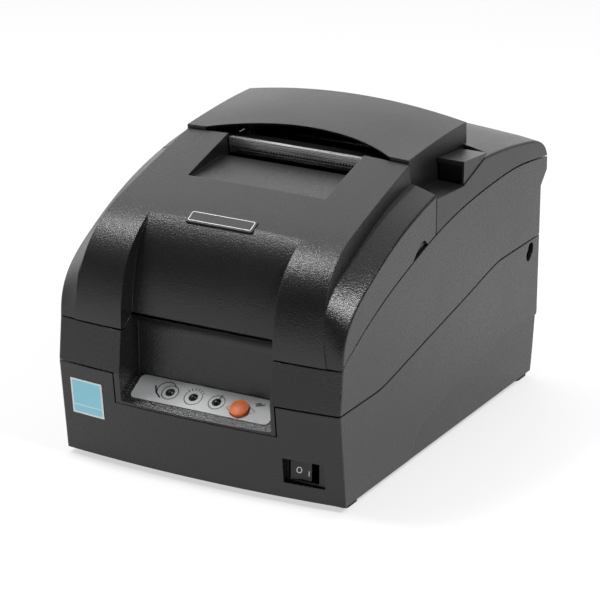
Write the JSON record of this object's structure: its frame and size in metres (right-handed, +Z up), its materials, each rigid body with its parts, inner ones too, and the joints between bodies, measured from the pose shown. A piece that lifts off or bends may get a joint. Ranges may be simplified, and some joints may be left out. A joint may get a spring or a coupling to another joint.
{
  "type": "receipt printer",
  "caption": "Desktop impact receipt printer with hinged front and rear covers, cover lever, tear-off blade, feed button, power rocker and a ribbon print mechanism.",
  "frame": {"origin": "centre of the footprint, on the surface that the feet stand on", "axes": "+X to the right seen from the front, +Y from the front to the rear, +Z up"},
  "size_m": [0.156, 0.235, 0.1568],
  "materials": {
    "case": "fine grained, semi-gloss",
    "dome": "fine grained, semi-gloss",
    "lever": "fine grained",
    "black": "smooth",
    "white_plastic": "smooth",
    "cassette": "smooth",
    "knob": "smooth",
    "button": "smooth, slightly translucent",
    "lights": "smoked",
    "label": "satin film",
    "sticker": "printed film",
    "badge": "blank, smooth",
    "switches": "smooth",
    "board": "solder-masked laminate",
    "chips": "moulded",
    "rubber": "matte",
    "ribbon": "inked nylon",
    "steel": "turned",
    "blade": "bright",
    "steel_port": "plated",
    "zinc": "zinc plated sheet",
    "head": "cast",
    "brass": "turned"
  },
  "bodies": {
    "case": {"lower_case": "case", "upper_case": "case", "rear_hinge_pins": "steel", "panel_label": "label", "status_lights": "lights", "panel_board": "board", "power_switch": "black", "mechanism_frame": "zinc", "guide_shaft": "steel", "platen": "rubber", "drive_belt": "rubber", "carriage_motor": "zinc", "idler_post": "zinc", "feed_motor": "zinc", "ribbon_cassette": "cassette", "ink_ribbon": "ribbon", "paper_tub": "black", "near_end_sensor": "black", "main_board": "board", "board_parts": "chips", "power_inlet": "black", "interface_port": "steel_port", "drawer_port": "black", "config_switches": "switches", "rubber_feet": "rubber", "case_screws": "steel", "front_sticker": "sticker", "rating_plate": "label"},
    "front_cover": {"front_cover": "case", "name_badge": "badge"},
    "rear_cover": {"rear_cover": "dome", "blade_holder": "black", "tear_blade": "blade"},
    "pinch_roller": {"pinch_roller": "rubber"},
    "lever": {"cover_lever": "lever", "latch_shaft": "steel", "latch_hooks": "steel"},
    "feed_button": {"feed_button": "button"},
    "rocker": {"power_rocker": "black"},
    "carriage": {"carriage": "black", "print_head": "head"},
    "motor_pulley": {"motor_pulley": "white_plastic"},
    "idler_pulley": {"idler_pulley": "white_plastic"},
    "feed_roller": {"feed_shaft": "steel", "feed_sleeves": "rubber", "feed_gear": "white_plastic"},
    "idler_gear": {"idler_gear": "white_plastic"},
    "motor_pinion": {"motor_pinion": "brass"},
    "ribbon_knob": {"ribbon_knob": "knob"},
    "near_end_lever": {"near_end_lever": "black"}
  },
  "joints": [
    {"name": "front_cover_hinge", "type": "hinge", "parent": "case", "child": "front_cover", "pos_m": [0, -0.11504, 0.073], "axis": [1, 0, 0], "range_deg": [0, 70]},
    {"name": "rear_cover_hinge", "type": "hinge", "parent": "case", "child": "rear_cover", "pos_m": [0, 0.11486, 0.1176], "axis": [-1, 0, 0], "range_deg": [0, 75]},
    {"name": "lever_hinge", "type": "hinge", "parent": "rear_cover", "child": "lever", "pos_m": [0, 0.03936, 0.133], "axis": [-1, 0, 0], "range_deg": [0, 18], "stiffness_Nm_per_rad": 0.6, "springref_deg": -11.46},
    {"name": "feed_button_slide", "type": "slide", "parent": "case", "child": "feed_button", "axis": [0, 0.4802, -0.8771], "range_m": [0, 0.0012], "stiffness_N_per_m": 1200, "springref_m": -0.0004},
    {"name": "rocker_hinge", "type": "hinge", "parent": "case", "child": "rocker", "pos_m": [0.0543, -0.10474, 0.01755], "axis": [0, 0, 1], "range_deg": [-16, 0]},
    {"name": "carriage_slide", "type": "slide", "parent": "case", "child": "carriage", "axis": [1, 0, 0], "range_m": [-0.031, 0.031]},
    {"name": "motor_pulley_spin", "type": "hinge", "parent": "case", "child": "motor_pulley", "pos_m": [-0.053, -0.05214, 0.0715], "axis": [0, 0, 1], "range_deg": [-290, 290]},
    {"name": "idler_pulley_spin", "type": "hinge", "parent": "case", "child": "idler_pulley", "pos_m": [0.053, -0.05214, 0.0715], "axis": [0, 0, 1], "range_deg": [-290, 290]},
    {"name": "feed_roller_spin", "type": "hinge", "parent": "case", "child": "feed_roller", "pos_m": [0, -0.02544, 0.118], "axis": [1, 0, 0], "continuous": true},
    {"name": "idler_gear_spin", "type": "hinge", "parent": "case", "child": "idler_gear", "pos_m": [0, -0.01156, 0.10011], "axis": [1, 0, 0], "continuous": true},
    {"name": "motor_pinion_spin", "type": "hinge", "parent": "case", "child": "motor_pinion", "pos_m": [0, 0.0011, 0.08379], "axis": [1, 0, 0], "continuous": true},
    {"name": "pinch_roller_spin", "type": "hinge", "parent": "rear_cover", "child": "pinch_roller", "pos_m": [0, -0.01614, 0.118], "axis": [1, 0, 0], "continuous": true},
    {"name": "ribbon_knob_spin", "type": "hinge", "parent": "case", "child": "ribbon_knob", "pos_m": [-0.04, -0.07714, 0.095], "axis": [0, 0, 1], "continuous": true},
    {"name": "near_end_hinge", "type": "hinge", "parent": "case", "child": "near_end_lever", "pos_m": [0, 0.07586, 0.062], "axis": [1, 0, 0], "range_deg": [0, 20]}
  ],
  "couplings": [
    {"joint": "motor_pulley_spin", "follows": "carriage_slide", "rad_per_m": -151.52},
    {"joint": "idler_pulley_spin", "follows": "carriage_slide", "rad_per_m": -151.52},
    {"joint": "idler_gear_spin", "follows": "feed_roller_spin", "ratio": -0.55172},
    {"joint": "motor_pinion_spin", "follows": "feed_roller_spin", "ratio": 1.3333},
    {"joint": "pinch_roller_spin", "follows": "feed_roller_spin", "ratio": -1.25}
  ]
}
